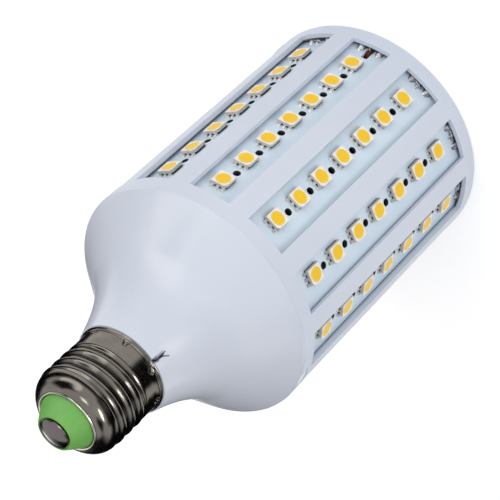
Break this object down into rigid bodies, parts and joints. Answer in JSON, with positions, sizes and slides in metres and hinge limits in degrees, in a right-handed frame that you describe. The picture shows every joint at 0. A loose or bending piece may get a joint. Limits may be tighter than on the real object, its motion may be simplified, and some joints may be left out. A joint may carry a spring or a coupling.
{
  "type": "corn led bulb",
  "caption": "Corn-style LED bulb: a lattice cage over strip boards with rows of square LEDs, a glossy neck cup, and a screw cap with a green insulator and a domed contact.",
  "frame": {"origin": "centre of the head end's rim, on the surface that the bulb stands on", "axes": "+Z along the bulb's axis, from the head end up to the screw cap; one window faces -Y"},
  "size_m": [0.0726, 0.0726, 0.1517],
  "materials": {
    "cage": "satin white moulding",
    "neck_cup": "glossy cool white",
    "board": "pale blue white solder mask",
    "package": "cream package with a yellow phosphor disc",
    "solder": "bright solder",
    "shell": "dark nickel plate",
    "insulator": "smooth green",
    "contact": "dark nickel plate",
    "laminate": "green laminate",
    "film": "ochre dipped case",
    "can": "dark sleeve on an aluminium can",
    "black_case": "black moulding",
    "resistor": "blue lacquer",
    "tinned": "tinned wire",
    "red_lead": "red insulation",
    "black_lead": "black insulation"
  },
  "bodies": {
    "root": {"cage": "cage", "strip_board_01": "board", "strip_leds_01": "package", "strip_board_02": "board", "strip_leds_02": "package", "strip_board_03": "board", "strip_leds_03": "package", "strip_board_04": "board", "strip_leds_04": "package", "strip_board_05": "board", "strip_leds_05": "package", "strip_board_06": "board", "strip_leds_06": "package", "strip_board_07": "board", "strip_leds_07": "package", "strip_board_08": "board", "strip_leds_08": "package", "strip_board_09": "board", "strip_leds_09": "package", "strip_board_10": "board", "strip_leds_10": "package", "strip_board_11": "board", "strip_leds_11": "package", "strip_board_12": "board", "strip_leds_12": "package", "end_board": "board", "end_leds": "package", "solder_joints": "solder", "neck_cup": "neck_cup", "screw_shell": "shell", "cap_insulator": "insulator", "centre_contact": "contact", "driver_board": "laminate", "film_capacitor": "film", "smoothing_capacitor": "can", "bridge_rectifier": "black_case", "bleed_resistors": "resistor", "fuse_resistor": "resistor", "live_lead": "black_lead", "neutral_lead": "tinned", "plus_lead": "red_lead", "minus_lead": "black_lead"}
  },
  "joints": []
}
